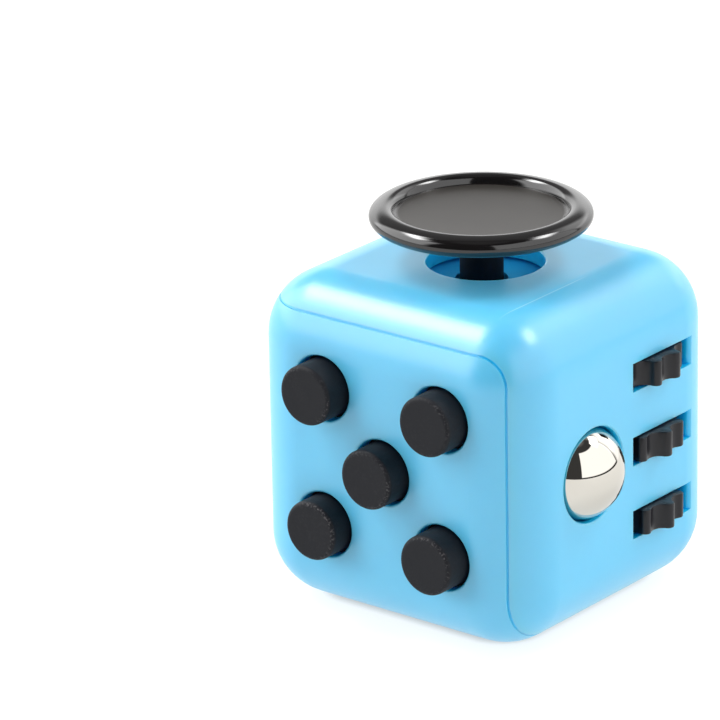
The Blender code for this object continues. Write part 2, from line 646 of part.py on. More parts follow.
# ---- the rocker switch ---------------------------------------------------------------------------
def rocker_point(along, out):
    """A point of the rocker at rest: along its length and out from its pivot, turned by its tilt."""
    c, s = math.cos(ROCKER_TILT), math.sin(ROCKER_TILT)
    return ROCKER_X - (out * c - along * s), MID + along * c + out * s


def rocker():
    reach = HALF + ROCKER_X + ROCKER_PROUD          # the raised end, out from the pivot
    end = math.asin(reach / ROCKER_END_R) - ROCKER_TILT
    middle = ROCKER_END_R * (math.sin(end) - math.cos(end) * math.tan(ROCKER_TILT))
    low, hub = math.radians(-5), ROCKER_HUB_R
    half = [(0, middle)]
    for i in range(9):
        angle = end + (low - end) * i / 8
        half.append((ROCKER_END_R * math.cos(angle), ROCKER_END_R * math.sin(angle)))
    for angle in (-35, -60, -90):
        half.append((hub * math.cos(math.radians(angle)), hub * math.sin(math.radians(angle))))
    outline = half + [(-a, b) for a, b in reversed(half[1:-1])]
    points = [rocker_point(a, b) for a, b in outline]
    made = solid("rocker", prism(points, -ROCKER_W / 2, ROCKER_W / 2, "Y"), BLACK)
    pivot = (ROCKER_X, 0, MID)
    cut(made, rod(ROCKER_BORE_R, -ROCKER_W, ROCKER_W, 14, pivot, Y))
    ORIGINS["rocker"] = pivot
    solid("rocker_pin", rod(ROCKER_PIN_R, -ROCKER_PIN_HALF, ROCKER_PIN_HALF, 14, pivot, Y), STEEL)
    rocker_housing()
    tip, back = ROCKER_PLUNGER
    radius = ROCKER_PLUNGER_R
    outline = [(0, tip), (radius - 0.4, tip + 0.1), (radius, tip + 0.5), (radius, back), (0, back)]
    solid("rocker_plunger", turned(outline, 14, pivot, X), WHITE)
    ORIGINS["rocker_plunger"] = (ROCKER_X + tip, 0, MID)
    solid("rocker_spring", coil(ROCKER_SPRING_R, WIRE / 2, *ROCKER_SPRING, 3, pivot, X), STEEL)


def rocker_housing():
    """A box open to the outside, with the plunger's guide behind its floor and two ears."""
    top, wide, long = -INNER + GAP, ROCKER_W / 2 + GAP + 0.1, ROCKER_END_R + GAP
    floor, wall = ROCKER_X + ROCKER_BOX_FLOOR, ROCKER_BOX_T
    pivot = (ROCKER_X, 0, MID)
    low = (top, -wide - wall, MID - long - wall)
    high = (floor + wall, wide + wall, MID + long + wall)
    made = solid("rocker_housing", box(low, high), WHITE)
    cut(made, box((top - 1, -wide, MID - long), (floor, wide, MID + long)))
    join(made, rod(ROCKER_GUIDE_R, ROCKER_BOX_FLOOR + 0.4, ROCKER_GUIDE_END, 16, pivot, X))
    cut(made, rod(ROCKER_GUIDE_BORE_R, ROCKER_BOX_FLOOR - 0.8, ROCKER_GUIDE_FLOOR, 14, pivot, X))
    cut(made, rod(ROCKER_BORE_R, -ROCKER_W, ROCKER_W, 14, pivot, Y))
    front, back = ROCKER_EAR_X
    for i, side in enumerate((-1, 1)):
        z = MID + side * ROCKER_SCREW
        zs = sorted((MID + side * (long + 0.5), z + side * EAR_R))
        join(made, box((front, -EAR_R, zs[0]), (back, EAR_R, zs[1])))
        cut(made, rod(SCREW_BORE_R, front - 1, back + 1, 10, (0, 0, z), X))
        screw("rocker_screw_%d" % (i + 1), (back + GAP, 0, z), -X, 3.5)


# ---- the whole cube ------------------------------------------------------------------------------
for old in list(bpy.data.objects):
    bpy.data.objects.remove(old)

BLUE = material("blue_plastic", (0.16, 0.56, 0.88), 0.3)
BLACK = material("black_plastic", (0.02, 0.02, 0.022), 0.35)
RUBBER = material("black_rubber", (0.018, 0.018, 0.022), 0.7)
WHITE = material("white_plastic", (0.75, 0.76, 0.76), 0.4)
GREEN = material("circuit_board", (0.03, 0.22, 0.09), 0.45)
STEEL = material("steel", (0.55, 0.55, 0.56), 0.35, 1.0)
CHROME = material("polished_steel", (0.8, 0.8, 0.8), 0.05, 1.0)

case_body()
case_cover()
buttons()
stick()
ball()
wheels()
dial()
rocker()
finish()
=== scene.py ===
"""Looks of the fidget cube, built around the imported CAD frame.

Lengths are in millimetres in the frame's own axes until finished() scales them to metres. The case and
everything that shows outside it are rebuilt finely in place of their CAD nodes. The pieces inside the case
keep their CAD meshes and only get materials.
"""

import json
import math

import bmesh
import bpy
from mathutils import Matrix, Vector


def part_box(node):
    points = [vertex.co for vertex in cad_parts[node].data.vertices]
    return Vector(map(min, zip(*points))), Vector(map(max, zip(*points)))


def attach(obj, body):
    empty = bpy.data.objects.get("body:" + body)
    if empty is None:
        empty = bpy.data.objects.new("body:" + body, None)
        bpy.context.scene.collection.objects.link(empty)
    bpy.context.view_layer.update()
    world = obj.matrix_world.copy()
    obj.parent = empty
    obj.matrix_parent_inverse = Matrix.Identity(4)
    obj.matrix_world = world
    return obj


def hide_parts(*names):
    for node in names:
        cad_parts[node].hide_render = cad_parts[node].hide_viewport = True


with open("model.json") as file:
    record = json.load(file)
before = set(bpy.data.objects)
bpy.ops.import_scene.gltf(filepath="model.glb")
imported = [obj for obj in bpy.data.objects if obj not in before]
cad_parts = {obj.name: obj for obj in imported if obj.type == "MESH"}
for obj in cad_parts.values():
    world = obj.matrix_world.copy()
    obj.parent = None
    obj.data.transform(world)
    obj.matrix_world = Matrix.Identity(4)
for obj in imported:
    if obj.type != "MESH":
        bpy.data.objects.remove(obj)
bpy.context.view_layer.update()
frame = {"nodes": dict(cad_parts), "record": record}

MM = 0.001
X, Y, Z = Vector((1, 0, 0)), Vector((0, 1, 0)), Vector((0, 0, 1))


# ---- places, read from the frame -----------------------------------------------------------------
def low(node):
    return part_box(node)[0] / MM


def high(node):
    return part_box(node)[1] / MM


def middle(node):
    return (low(node) + high(node)) / 2


HALF = high("case_cover").x              # half the cube's edge
CASE = 2 * HALF
MID = HALF
EDGE = 6.5                               # radius of its rounded edges
WALL = 1.6
GAP = 0.3
SEAM = 0.22                              # width of the groove between the two halves
SEAM_DEPTH = 0.13
SEAM_LAP = 0.02                          # the body runs this far into the cover, behind the groove
SEAM_X = 13.93
SEAM_Z = 30.1
SEAM_CORNER = 3.0
LIP = 0.22                               # rounding at the edge of every opening

BUTTONS = ("upper_left", "upper_right", "centre", "lower_left", "lower_right")
BUTTON_R = 2.95
BUTTON_HOLE_R = BUTTON_R + GAP
BUTTON_RIM = 0.42                        # rounding of the cap's front edge
BUTTON_FLANGE = (3.7, 0.8)               # radius and thickness of the flange behind the wall
BUTTON_CORE = (1.5, 1.3)                 # radius of the core, and how far it reaches behind the wall
WEAR_WIDTH = 0.16                        # of the rubbed ring at the rim of a cap
STICK_HOLE = (middle("button_centre").x, 0.0, 5.7)
STEM_R = 2.1                             # clears that hole's edge with both glides at a limit
WHEELS = ("upper", "middle", "lower")
WHEEL_PHASE = {"upper": 14.7, "middle": -4.8, "lower": -0.2}
WHEEL_TEETH = 10
WHEEL_AXIS = Vector((13.15, 5.75, 0))
WHEEL_TIP_R = 5.0
WHEEL_TIP_ROUND = 0.55
WHEEL_VALLEY_R = 4.15
WHEEL_CLEARANCE = 0.35
AXLE_HOLE = (1.1, 4, 29)                 # radius and both ends
AXLE_LUGS = ((5.9, 6.9), (26.1, 27.1))   # heights of the two lugs that hold the axle
LUG_HALF = 1.8
LUG_OUT = 15.3                           # the lugs run into the right wall
SLOT_Y = (1.46, 10.7)
SLOT_H = 2.9
SLOT_ROLL = 0.8                          # rounding of the slot's far end into the face
BALL = middle("roller_ball")
BALL_R = BALL.y - low("roller_ball").y
BALL_SEAT_GAP = 0.15
BALL_MOUTH_R = 4.74
BALL_MOUTH_FLARE = 0.28
DIAL_R = 9.2
DIAL_RECESS = 0.7
DIAL_PROUD = 1.2
DIAL_HOLE_R = 1.8                        # for the dial's stub, through the wall
DIAL_STUB = (1.5, 14.1)                  # its radius and inner end
DIAL_BORE = (0.85, 16.3)                 # radius and bottom of the screw's bore in the stub
NUB_OUT = 6.1                            # from the dial's centre to its nub
ROCKER_PIVOT = Vector((-13.2, 0, MID))
ROCKER_TILT = math.radians(11.5)
ROCKER_END_R = 7.2
ROCKER_END_GAP = 0.1
ROCKER_W = 6.8
ROCKER_BEVEL = 0.175
ROCKER_BORE_R = 1.0
DENT = (11.0, 8.7, 4.0)                  # half axes of the ellipsoid that the thumb dent is cut with
DENT_DEPTH = 2.0
DENT_PAD = (10.9, 8.9, 1.0, 3.4)         # half axes, bottom and top of the thick floor around the dent


# ---- shapes, as bmesh solids in millimetres ------------------------------------------------------
def closed(bm):
    bmesh.ops.recalc_face_normals(bm, faces=bm.faces)
    return bm


def box(low_corner, high_corner):
    bm = bmesh.new()
    size = [b - a for a, b in zip(low_corner, high_corner)]
    centre = [(a + b) / 2 for a, b in zip(low_corner, high_corner)]
    bmesh.ops.create_cube(bm, size=1.0, matrix=Matrix.LocRotScale(Vector(centre), None, Vector(size)))
    return bm


def rounded_box(inset, segments):
    half = HALF - inset
    bm = box((-half, -half, MID - half), (half, half, MID + half))
    bmesh.ops.bevel(
        bm, geom=list(bm.edges), offset=EDGE - inset, segments=segments, profile=0.5, affect="EDGES"
    )
    return closed(bm)


def turned(outline, steps, base=(0, 0, 0), axis=Z):
    """A lathe solid: outline is a closed run of (radius, height) points; radius 0 is on the axis."""
    bm = bmesh.new()
    turn = Vector(axis).normalized().to_track_quat("Z", "Y").to_matrix().to_4x4()
    place = Matrix.Translation(base) @ turn
    rings = []
    for radius, height in outline:
        if radius == 0:
            rings.append([bm.verts.new(place @ Vector((0, 0, height)))] * steps)
            continue
        angles = [2 * math.pi * i / steps for i in range(steps)]
        points = [Vector((radius * math.cos(a), radius * math.sin(a), height)) for a in angles]
        rings.append([bm.verts.new(place @ p) for p in points])
    for ring, after in zip(rings, rings[1:] + rings[:1]):
        for i in range(steps):
            j = (i + 1) % steps
            corners = []
            for vert in (ring[i], ring[j], after[j], after[i]):
                if vert not in corners:
                    corners.append(vert)
            if len(corners) > 2:
                bm.faces.new(corners)
    return closed(bm)


def rod(radius, start, end, steps, base=(0, 0, 0), axis=Z):
    """A plain cylinder along axis, between two distances from base."""
    return turned([(0, start), (radius, start), (radius, end), (0, end)], steps, base, axis)


def prism(outline, start, end, axis):
    """A flat outline pushed along X, Y or Z. Its points are the two other coordinates, in order."""
    bm = bmesh.new()

    def point(pair, along):
        a, b = pair
        return {"X": (along, a, b), "Y": (a, along, b), "Z": (a, b, along)}[axis]

    near = [bm.verts.new(point(p, start)) for p in outline]
    far = [bm.verts.new(point(p, end)) for p in outline]
    bm.faces.new(near)
    bm.faces.new(far)
    for i in range(len(outline)):
        j = (i + 1) % len(outline)
        bm.faces.new((near[i], near[j], far[j], far[i]))
    return closed(bm)


def arc(centre, radius, start, end, steps):
    """Points of an arc, angles in degrees, as (radius or x, height or y) pairs."""
    points = []
    for i in range(steps + 1):
        angle = math.radians(start + (end - start) * i / steps)
        points.append((centre[0] + radius * math.cos(angle), centre[1] + radius * math.sin(angle)))
    return points


def sphere(radius, segments, rings, base=(0, 0, 0)):
    """A ball with its poles along Z."""
    outline = [(0, -radius)] + arc((0, 0), radius, -90, 90, rings)[1:-1] + [(0, radius)]
    return turned(outline, segments, base)


# ---- objects -------------------------------------------------------------------------------------
def solid(name, bm):
    mesh = bpy.data.meshes.new(name)
    bm.to_mesh(mesh)
    bm.free()
    made = bpy.data.objects.new(name, mesh)
    bpy.context.scene.collection.objects.link(made)
    return made


def combine(target, bm, operation):
    tool = solid("tool", bm)
    modifier = target.modifiers.new("combine", "BOOLEAN")
    modifier.operation = operation
    modifier.solver = "EXACT"
    modifier.object = tool
    graph = bpy.context.evaluated_depsgraph_get()
    result = bpy.data.meshes.new_from_object(target.evaluated_get(graph))
    target.modifiers.clear()
    before = target.data
    target.data = result
    bpy.data.meshes.remove(before)
    tool_mesh = tool.data
    bpy.data.objects.remove(tool)
    bpy.data.meshes.remove(tool_mesh)


def join(target, bm):
    combine(target, bm, "UNION")


def cut(target, bm):
    combine(target, bm, "DIFFERENCE")


def finished(made, body, nodes, finish, sharp=35):
    """Scale a piece to metres, shade it, give it its material, and hang it on its CAD body."""
    made.data.transform(Matrix.Scale(MM, 4))
    made.data.materials.clear()
    made.data.materials.append(finish)
    made.data.shade_smooth()
    made.data.set_sharp_from_angle(angle=math.radians(sharp))
    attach(made, body)
    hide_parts(*nodes)


# ---- materials -----------------------------------------------------------------------------------
GLOW_RADIUS = (0.4, 1.3, 1.6)            # how far red, green and blue light spread in the shell
PAINTED_LIGHT_DEPTH = (0.03, 0.16)                # below the surface, where the painted light of the openings sets in
PAINTED_LIGHT_HEIGHT = (2.6, 3.2)                 # it fades out below this, to leave the thumb dent alone


class Graph:
    """A small helper that adds nodes to one shader tree and links them."""

    def __init__(self, tree):
        self.tree = tree

    def add(self, kind, **settings):
        node = self.tree.nodes.new(kind)
        for key, value in settings.items():
            setattr(node, key, value)
        return node

    def link(self, source, target):
        self.tree.links.new(source, target)

    def maths(self, operation, *values):
        node = self.add("ShaderNodeMath", operation=operation)
        for socket, value in zip(node.inputs, values):
            if isinstance(value, (int, float)):
                socket.default_value = value
            else:
                self.link(value, socket)
        return node.outputs[0]

    def span(self, source, low_in, high_in, low_out, high_out, kind="LINEAR"):
        """Map one range of values to another and clamp what lies outside it."""
        node = self.add("ShaderNodeMapRange", interpolation_type=kind)
        self.link(source, node.inputs["Value"])
        ends = {"From Min": low_in, "From Max": high_in, "To Min": low_out, "To Max": high_out}
        for key, value in ends.items():
            node.inputs[key].default_value = value
        return node.outputs["Result"]


class Nodes(Graph):
    """One material, with its shader and its position in the object's own space."""

    def __init__(self, name):
        self.material = bpy.data.materials.new(name)
        self.material.use_nodes = True
        super().__init__(self.material.node_tree)
        self.shader = self.tree.nodes["Principled BSDF"]
        self.place = self.add("ShaderNodeTexCoord").outputs["Object"]

    def noise(self, scale, detail=3.0, stretch=None):
        """Noise with features 1 / scale metres across, optionally stretched along the axes."""
        node = self.add("ShaderNodeTexNoise")
        node.inputs["Scale"].default_value = scale
        node.inputs["Detail"].default_value = detail
        source = self.place
        if stretch:
            mapping = self.add("ShaderNodeMapping")
            mapping.inputs["Scale"].default_value = stretch
            self.link(source, mapping.inputs["Vector"])
            source = mapping.outputs["Vector"]
        self.link(source, node.inputs["Vector"])
        return node.outputs["Fac"]

    def mix(self, factor, a, b):
        node = self.add("ShaderNodeMix", data_type="RGBA")
        self.link(factor, node.inputs["Factor"])
        for key, value in (("A", a), ("B", b)):
            socket = [s for s in node.inputs if s.name == key and s.type == "RGBA"][0]
            if isinstance(value, tuple):
                socket.default_value = (*value, 1.0)
            else:
                self.link(value, socket)
        return [s for s in node.outputs if s.type == "RGBA"][0]

    def bump(self, height, distance, strength=1.0, under=None):
        """A bump of so many millimetres, on top of another bump if one is given."""
        node = self.add("ShaderNodeBump")
        node.inputs["Distance"].default_value = distance * MM
        node.inputs["Strength"].default_value = strength
        self.link(height, node.inputs["Height"])
        if under is not None:
            self.link(under, node.inputs["Normal"])
        return node.outputs["Normal"]

    def set(self, **values):
        """Give the shader's inputs a constant or a link, by short names."""
        names = {
            "colour": "Base Color", "roughness": "Roughness", "normal": "Normal", "metallic": "Metallic",
            "ior": "IOR", "specular": "Specular IOR Level", "glow": "Subsurface Weight",
            "glow_scale": "Subsurface Scale", "glow_radius": "Subsurface Radius",
        }
        for key, value in values.items():
            socket = self.shader.inputs[names[key]]
            if hasattr(value, "is_linked"):
                self.link(value, socket)
            elif key == "colour":
                socket.default_value = (*value, 1.0)
            else:
                socket.default_value = value


def moulded(name, colour, mottle, roughness, glow=0.0, ior=1.5, highlight_line=None, inside=None):
    """Moulded plastic: a slight mottle in the colour, a very fine orange peel and sometimes a painted
    highlight line.

    inside is a purer, brighter blue painted into the seam and the openings: painted light that stands in for
    light shining through the plastic there.
    """
    n = Nodes(name)
    surface = n.mix(n.noise(700, 4), mottle, colour)
    if inside:
        # painted light: a purer, brighter blue in the seam and the openings
        surface = n.mix(painted_light_mask(n), surface, inside)
    # a painted highlight: a pale line mixed into the colour
    if highlight_line:
        surface = n.mix(painted_highlight_line(n, *highlight_line), surface, PAINTED_HIGHLIGHT_COLOUR)
    n.set(colour=surface, roughness=roughness, ior=ior)
    n.set(normal=n.bump(n.noise(2600, 2), 0.002, 0.5))
    if glow:
        n.set(glow=glow, glow_scale=MM, glow_radius=GLOW_RADIUS)
    return n.material


def painted_light_mask(n):
    """Where the openings get painted light: 0 on the cube's outer surface and near its underside, 1 where the
    surface lies deeper inside.
    """
    parts = n.add("ShaderNodeSeparateXYZ")
    n.link(n.place, parts.inputs[0])
    past = []
    for axis, centre in (("X", 0.0), ("Y", 0.0), ("Z", MID * MM)):
        beside = n.maths("ABSOLUTE", n.maths("SUBTRACT", parts.outputs[axis], centre))
        past.append(n.maths("SUBTRACT", beside, (HALF - EDGE) * MM))
    squares = [n.maths("POWER", n.maths("MAXIMUM", each, 0.0), 2.0) for each in past]
    beyond = n.maths("SQRT", n.maths("ADD", n.maths("ADD", squares[0], squares[1]), squares[2]))
    depth = n.maths("SUBTRACT", EDGE * MM, beyond)
    start, full = (limit * MM for limit in PAINTED_LIGHT_DEPTH)
    foot, above = (limit * MM for limit in PAINTED_LIGHT_HEIGHT)
    deep = n.span(depth, start, full, 0.0, 1.0)
    return n.maths("MULTIPLY", deep, n.span(parts.outputs["Z"], foot, above, 0.0, 1.0))


def painted_highlight_line(n, x, start, end, width, strength):
    """A painted highlight: a fine pale line along Y on top of the cube, strongest in its middle."""
    parts = n.add("ShaderNodeSeparateXYZ")
    n.link(n.place, parts.inputs[0])
    across = n.maths("ABSOLUTE", n.maths("SUBTRACT", parts.outputs["X"], x * MM))
    line = n.span(across, 0.0, width * MM, strength, 0.0)
    along = n.maths("ABSOLUTE", n.maths("SUBTRACT", parts.outputs["Y"], (start + end) / 2 * MM))
    reach = (end - start) / 2 * MM
    line = n.maths("MULTIPLY", line, n.span(along, reach * 0.6, reach, 1.0, 0.0))
    return n.maths("MULTIPLY", line, n.span(parts.outputs["Z"], 0.90 * CASE * MM, 0.92 * CASE * MM, 0.0, 1.0))


def rubber(name):
    """Black button rubber: a faint grey bloom, and fine paler speckles where the rim is rubbed."""
    n = Nodes(name)
    wear = n.add("ShaderNodeAttribute", attribute_name="wear").outputs["Fac"]
    speckle = n.span(n.noise(4200, 4), 0.50, 0.66, 0.0, 1.0)
    patch = n.span(n.noise(260, 2), 0.42, 0.62, 0.15, 1.0)
    rubbed = n.maths("MULTIPLY", wear, n.maths("MULTIPLY", speckle, patch))
    bloom = n.span(n.noise(900, 4), 0.35, 0.7, 0, 1)
    base = n.mix(bloom, (0.002, 0.0028, 0.0060), (0.0055, 0.0065, 0.010))
    n.set(colour=n.mix(rubbed, base, (0.10, 0.095, 0.10)), specular=0.28)
    n.set(roughness=n.span(bloom, 0, 1, 0.58, 0.70))
    n.set(normal=n.bump(n.noise(5200, 3), 0.008, 0.8, n.bump(n.noise(900, 3), 0.015, 0.5)))
    return n.material


def polished(name, tint, roughness):
    """Polished steel with very fine hairlines."""
    n = Nodes(name)
    lines = n.span(n.noise(900, 3, (1, 22, 1)), 0.6, 0.75, 0.0, 0.03)
    haze = n.span(n.noise(300, 3), 0.3, 0.7, roughness, roughness + 0.02)
    n.set(colour=n.mix(n.noise(250, 3), tint, tuple(min(1.0, c * 1.04) for c in tint)))
    n.set(metallic=1.0, roughness=n.maths("ADD", haze, lines))
    n.set(normal=n.bump(n.noise(120, 2), 0.01, 0.15))
    return n.material


def thumb_black(name):
    """The thumb disc: glossy black rim around a dish dulled by handling, whose lighter warm grey colour is
    partly smudges and partly painted sheen for its grey reflection.
    """
    n = Nodes(name)
    dish = n.add("ShaderNodeAttribute", attribute_name="dish").outputs["Fac"]
    smear = n.noise(260, 3)
    rim = n.mix(n.noise(900, 3), (0.003, 0.0025, 0.003), (0.006, 0.005, 0.005))
    # the dish's lighter warm grey: smudges from the noise, and painted sheen
    smudges_and_sheen = n.mix(smear, (0.016, 0.014, 0.012), (0.028, 0.025, 0.021))
    n.set(colour=n.mix(dish, rim, smudges_and_sheen), ior=1.62)
    n.set(roughness=n.span(dish, 0, 1, 0.10, 0.40), specular=n.span(dish, 0, 1, 0.5, 0.31))
    n.set(normal=n.bump(smear, 0.004, 0.3, n.bump(n.noise(2600, 2), 0.002, 0.4)))
    return n.material


def board_green(name):
    """Circuit board: green lacquer with faint darker tracks."""
    n = Nodes(name)
    tracks = n.add("ShaderNodeTexWave", wave_type="BANDS", bands_direction="DIAGONAL")
    tracks.inputs["Scale"].default_value = 420
    tracks.inputs["Distortion"].default_value = 3
    n.link(n.place, tracks.inputs["Vector"])
    lines = n.span(tracks.outputs["Fac"], 0.4, 0.5, 0, 1)
    n.set(colour=n.mix(lines, (0.012, 0.09, 0.035), (0.02, 0.16, 0.06)), roughness=0.35)
    n.set(normal=n.bump(lines, 0.03, 0.5))
    return n.material


# A painted highlight line on the top, where a light's reflection edge runs along the start of the rounded
# edge.
PAINTED_HIGHLIGHT = (10.75, -11.9, 2.2, 0.09, 0.5)  # place across, both ends, half width and strength
PAINTED_HIGHLIGHT_COLOUR = (0.62, 0.82, 0.95)
# The last colour is painted light: a purer, brighter blue in the seam and the openings.
BLUE = moulded(
    "blue_shell", (0.112, 0.515, 0.78), (0.104, 0.498, 0.76), 0.30, 0.4, 1.72, PAINTED_HIGHLIGHT, (0.004, 0.54, 0.93)
)
BLUE_INNER = moulded("blue_inner", (0.02, 0.46, 0.90), (0.018, 0.43, 0.86), 0.5, ior=1.3)
DISC = thumb_black("disc_black")
STEM = moulded("stem_black", (0.002, 0.002, 0.004), (0.001, 0.001, 0.003), 0.5, ior=1.25)
WHEEL = moulded("wheel_black", (0.007, 0.007, 0.010), (0.004, 0.004, 0.006), 0.34, ior=1.42)
HIDDEN_BLACK = moulded("inner_black", (0.02, 0.02, 0.022), (0.015, 0.015, 0.016), 0.45)
RUBBER = rubber("button_rubber")
WHITE = moulded("inner_white", (0.75, 0.76, 0.76), (0.7, 0.71, 0.71), 0.4)
BOARD = board_green("board_green")
STEEL = polished("plain_steel", (0.50, 0.50, 0.51), 0.3)
CHROME = polished("ball_steel", (0.60, 0.575, 0.525), 0.015)


# ---- the case ------------------------------------------------------------------------------------
def seam_region(grow):
    """The side of the seam that belongs to the case body, as a prism along Y."""
    right, top, radius = SEAM_X + grow, SEAM_Z + grow, SEAM_CORNER + grow
    far = 2 * CASE
    outline = [(-far, -far), (right, -far)]
    outline += arc((right - radius, top - radius), radius, 0, 90, 12)
    outline.append((-far, top))
    return prism(outline, -far, far, "Y")


def hole(radius, outer, depth, base, axis, steps=64):
    """The cutter of a round opening with a rounded lip at the outer face, along axis from base."""
    outline = [(0, outer - depth), (radius, outer - depth)]
    outline += [(radius + LIP - x, outer - LIP + y) for x, y in arc((0, 0), LIP, 0, 90, 4)]
    outline += [(radius + LIP, outer + 1), (0, outer + 1)]
    return turned(outline, steps, base, axis)


def slot_cutter(z):
    """A slot through the right wall, with its far end rolled softly into the face."""
    low_z, high_z = z - SLOT_H / 2, z + SLOT_H / 2
    start, end = SLOT_Y
    outline = [(HALF + 1, start), (HALF - 2, start), (HALF - 2, end)]
    outline += arc((HALF - SLOT_ROLL, end + SLOT_ROLL), SLOT_ROLL, -90, 0, 10)
    outline.append((HALF + 1, end + SLOT_ROLL))
    return prism(outline, low_z, high_z, "Z")


def oval(a, b, steps):
    angles = [2 * math.pi * i / steps for i in range(steps)]
    return [(a * math.cos(angle), b * math.sin(angle)) for angle in angles]


def dent():
    """The cutter of the thumb dent in the underside."""
    bm = sphere(1.0, 64, 48)
    bmesh.ops.scale(bm, vec=DENT, verts=bm.verts)
    bmesh.ops.translate(bm, vec=(0, 0, DENT_DEPTH - DENT[2]), verts=bm.verts)
    return bm


def from_object(made):
    shape = bmesh.new()
    shape.from_mesh(made.data)
    bpy.data.objects.remove(made)
    return shape


def case_body():
    made = solid("shell_body", rounded_box(0, 16))
    combine(made, seam_region(0), "INTERSECT")
    tongue = solid("tongue", rounded_box(SEAM_DEPTH, 10))
    combine(tongue, seam_region(SEAM + SEAM_LAP), "INTERSECT")
    join(made, from_object(tongue))
    cut(made, rounded_box(WALL, 8))
    pad_x, pad_y, bottom, top = DENT_PAD
    join(made, prism(oval(pad_x, pad_y, 48), bottom, top, "Z"))
    cut(made, dent())
    for name in BUTTONS:
        centre = middle("button_" + name)
        cut(made, hole(BUTTON_HOLE_R, HALF, WALL + 1, (centre.x, 0, centre.z), -Y))
    wide, tall = ROCKER_W / 2 + GAP, ROCKER_END_R + ROCKER_END_GAP
    cut(made, box((-HALF - 1, -wide, MID - tall), (-HALF + WALL + 1, wide, MID + tall)))
    cut(made, hole(DIAL_R + GAP, HALF, DIAL_RECESS, (0, 0, MID), Y, 96))
    cut(made, rod(DIAL_HOLE_R, HALF - WALL - 1, HALF, 32, (0, 0, MID), Y))
    weigh(made)
    finished(made, "case", ["case_body"], BLUE)


def case_cover():
    made = solid("shell_cover", rounded_box(0, 16))
    cut(made, seam_region(SEAM))
    cut(made, rounded_box(WALL, 8))
    x, y, radius = STICK_HOLE
    cut(made, hole(radius, CASE, WALL + 1, (x, y, 0), Z, 96))
    cut(made, ball_mouth())
    left, front, back = WHEEL_AXIS.x - LUG_HALF, WHEEL_AXIS.y - LUG_HALF, WHEEL_AXIS.y + LUG_HALF
    for low_z, high_z in AXLE_LUGS:
        join(made, box((left, front, low_z), (LUG_OUT, back, high_z)))
    cut(made, rod(*AXLE_HOLE, 32, WHEEL_AXIS))
    for name in WHEELS:
        z = middle("star_wheel_" + name).z
        cut(made, slot_cutter(z))
        cut(made, rod(WHEEL_TIP_R + WHEEL_CLEARANCE, z - SLOT_H / 2, z + SLOT_H / 2, 64, WHEEL_AXIS))
    weigh(made)
    finished(made, "case", ["case_cover"], BLUE)


def ball_mouth():
    """The cutter of the ball's opening: a ball seat inside that ends in a flared mouth."""
    seat_r, flare = BALL_R + BALL_SEAT_GAP, BALL_MOUTH_FLARE
    outline = [(0, -seat_r)]
    for i in range(1, 80):
        angle = -math.pi / 2 + math.pi * i / 80
        radius, height = seat_r * math.cos(angle), seat_r * math.sin(angle)
        mouth = BALL_MOUTH_R + (BALL.x + height - HALF) * flare
        if height > 0 and radius < mouth:
            break
        outline.append((radius, height))
    face = HALF - BALL.x
    outline += [(BALL_MOUTH_R - 0.1 * flare, face - 0.1), (BALL_MOUTH_R + 0.1, face)]
    outline += [(BALL_MOUTH_R + 0.3, face + 1), (0, face + 1)]
    return turned(outline, 96, BALL, X)


def weigh(made):
    """Let the large flat faces set the shading where they meet the rounded edges."""
    modifier = made.modifiers.new("weigh", "WEIGHTED_NORMAL")
    modifier.weight = 100
    modifier.keep_sharp = True


# ---- the push buttons ----------------------------------------------------------------------------
def button(name):
    node = "button_" + name
    centre, face = middle(node), -low(node).y
    back, rim, bevel = HALF - WALL - GAP, BUTTON_RIM, 0.1
    flange_r, flange_t = BUTTON_FLANGE
    core_r, core_reach = BUTTON_CORE
    outline = [(0, face - 0.02), (1.2, face - 0.015), (2.2, face), (BUTTON_R - rim - 0.05, face)]
    outline += arc((BUTTON_R - rim, face - rim), rim, 84, 0, 8)
    outline += [(BUTTON_R, back + 0.15), (BUTTON_R, back), (flange_r - bevel, back), (flange_r, back - bevel)]
    outline += [(flange_r, back - flange_t + bevel), (flange_r - bevel, back - flange_t)]
    outline += [(core_r, back - flange_t), (core_r, back - core_reach), (0, back - core_reach)]
    made = solid("cap_" + name, turned(outline, 96, (centre.x, 0, centre.z), -Y))
    wear = made.data.attributes.new("wear", "FLOAT", "POINT")
    for vertex in made.data.vertices:
        out = math.hypot(vertex.co.x - centre.x, vertex.co.z - centre.z)
        depth = face + vertex.co.y
        ring = math.exp(-((out - (BUTTON_R - rim * 0.55)) / WEAR_WIDTH) ** 2) if depth < rim * 0.6 else 0.0
        side = (vertex.co.x - centre.x + vertex.co.z - centre.z) / (2 * BUTTON_R)
        wear.data[vertex.index].value = max(ring * min(1.0, 0.55 + 0.6 * side), 0.04)
    finished(made, node, [node], RUBBER)


